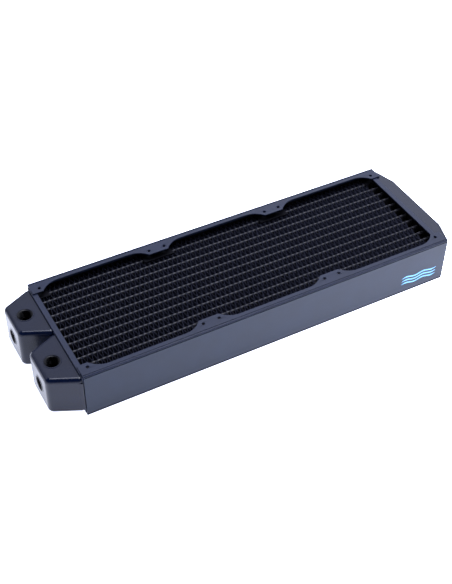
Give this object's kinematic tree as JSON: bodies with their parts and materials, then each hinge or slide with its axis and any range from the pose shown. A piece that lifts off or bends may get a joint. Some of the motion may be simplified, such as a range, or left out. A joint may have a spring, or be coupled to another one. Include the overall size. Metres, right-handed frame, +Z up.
{
  "type": "liquid cooling radiator",
  "caption": "Slim flat radiator for liquid cooling: flat tubes and folded fins in a sheet-metal housing with fan screw rails on both faces, twin port tanks at one end.",
  "frame": {"origin": "centre of the middle fan's screw pattern on the underside, in the plane of the lower fan rails", "axes": "+X along the length towards the return tank (the ports are at -X), +Y across the width, +Z up through the thickness"},
  "size_m": [0.3977, 0.124, 0.046],
  "materials": {
    "housing_paint": "satin",
    "cover_paint": "satin",
    "guard_paint": "matt",
    "tank_paint": "satin",
    "port_brass": "painted brass",
    "tube_copper": "thinly painted copper",
    "fin_copper": "matt black"
  },
  "bodies": {
    "root": {"side_channel_front": "housing_paint", "side_channel_back": "housing_paint", "fan_rail_top_front": "housing_paint", "fan_rail_top_back": "housing_paint", "fan_rail_bottom_front": "housing_paint", "fan_rail_bottom_back": "housing_paint", "side_cover_front": "cover_paint", "side_cover_back": "cover_paint", "screw_guards_top_front": "guard_paint", "screw_guards_top_back": "guard_paint", "screw_guards_bottom_front": "guard_paint", "screw_guards_bottom_back": "guard_paint", "tube_plate_port_end": "tank_paint", "tube_plate_return_end": "tank_paint", "port_tank_front": "tank_paint", "port_tank_back": "tank_paint", "return_tank": "tank_paint", "bush_front_top": "port_brass", "bush_front_bottom": "port_brass", "bush_front_end": "port_brass", "bush_back_top": "port_brass", "bush_back_bottom": "port_brass", "bush_back_end": "port_brass", "tube_01": "tube_copper", "tube_02": "tube_copper", "tube_03": "tube_copper", "tube_04": "tube_copper", "tube_05": "tube_copper", "tube_06": "tube_copper", "tube_07": "tube_copper", "tube_08": "tube_copper", "tube_09": "tube_copper", "tube_10": "tube_copper", "tube_11": "tube_copper", "tube_12": "tube_copper", "fin_strip_01": "fin_copper", "fin_strip_02": "fin_copper", "fin_strip_03": "fin_copper", "fin_strip_04": "fin_copper", "fin_strip_05": "fin_copper", "fin_strip_06": "fin_copper", "fin_strip_07": "fin_copper", "fin_strip_08": "fin_copper", "fin_strip_09": "fin_copper", "fin_strip_10": "fin_copper", "fin_strip_11": "fin_copper", "fin_strip_12": "fin_copper", "fin_strip_13": "fin_copper"}
  },
  "joints": []
}
